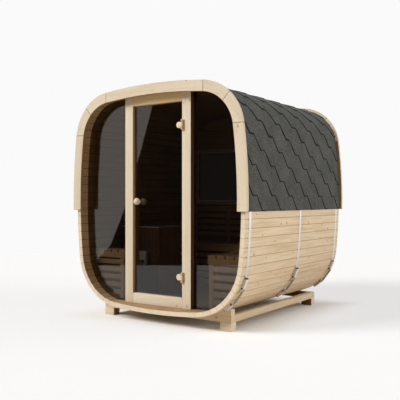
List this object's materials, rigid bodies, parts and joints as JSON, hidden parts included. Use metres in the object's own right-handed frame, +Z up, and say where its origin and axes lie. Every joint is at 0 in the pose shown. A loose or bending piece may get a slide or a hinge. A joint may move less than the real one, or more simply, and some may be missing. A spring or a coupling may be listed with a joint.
{
  "type": "garden sauna cabin",
  "caption": "Rounded square garden sauna of long timber staves with a glazed front, a hinged glass door, a shingled roof, benches, a heater and a timber cradle.",
  "frame": {"origin": "on the ground, under the middle of the cabin", "axes": "+Z up, the glazed front faces -Y, +X to the right of someone who looks at the front"},
  "size_m": [2.062, 2.106, 2.263],
  "materials": {
    "stave_timber": "planed spruce",
    "trim_timber": "planed pale spruce",
    "turned_timber": "turned and sanded",
    "bench_timber": "planed and sanded",
    "bitumen": "mineral granules on bitumen felt",
    "band_steel": "stainless strip",
    "tinted_glass": "dark tinted, toughened",
    "heater_steel": "black",
    "control_grey": "grey enamel"
  },
  "bodies": {
    "cabin": {"left_wall": "stave_timber", "right_wall": "stave_timber", "ceiling": "stave_timber", "underside": "stave_timber", "upper_left_corner": "stave_timber", "upper_right_corner": "stave_timber", "lower_left_corner": "stave_timber", "lower_right_corner": "stave_timber", "front_arch_top": "trim_timber", "front_arch_sides": "trim_timber", "front_arch_corners": "trim_timber", "rear_arch_top": "trim_timber", "rear_arch_sides": "trim_timber", "rear_arch_corners": "trim_timber", "roof_covering": "bitumen", "steel_bands": "band_steel", "tension_brackets": "band_steel", "tension_rods": "band_steel", "left_glass_pane": "tinted_glass", "right_glass_pane": "tinted_glass", "left_jamb": "trim_timber", "right_jamb": "trim_timber", "door_header": "trim_timber", "door_sill": "trim_timber", "hinge_blocks": "turned_timber", "hinge_pins": "band_steel", "rear_wall_lower": "stave_timber", "rear_wall_upper": "stave_timber", "rear_wall_sides": "stave_timber", "window_frame": "trim_timber", "window_glass": "tinted_glass", "crossbeams": "trim_timber", "saddles": "trim_timber", "side_rails": "trim_timber", "feet": "trim_timber", "floor_deck": "stave_timber", "bench_seats": "bench_timber", "bench_screens": "bench_timber", "backrest": "bench_timber", "heater": "heater_steel", "heater_guard": "bench_timber", "control_box": "control_grey"},
    "door": {"door_glass": "tinted_glass", "door_knobs": "turned_timber", "hinge_discs": "turned_timber"}
  },
  "joints": [
    {"name": "door_hinge", "type": "hinge", "parent": "cabin", "child": "door", "pos_m": [0.306, -0.99, 1.157], "axis": [0, 0, 1], "range_deg": [0, 100]}
  ]
}
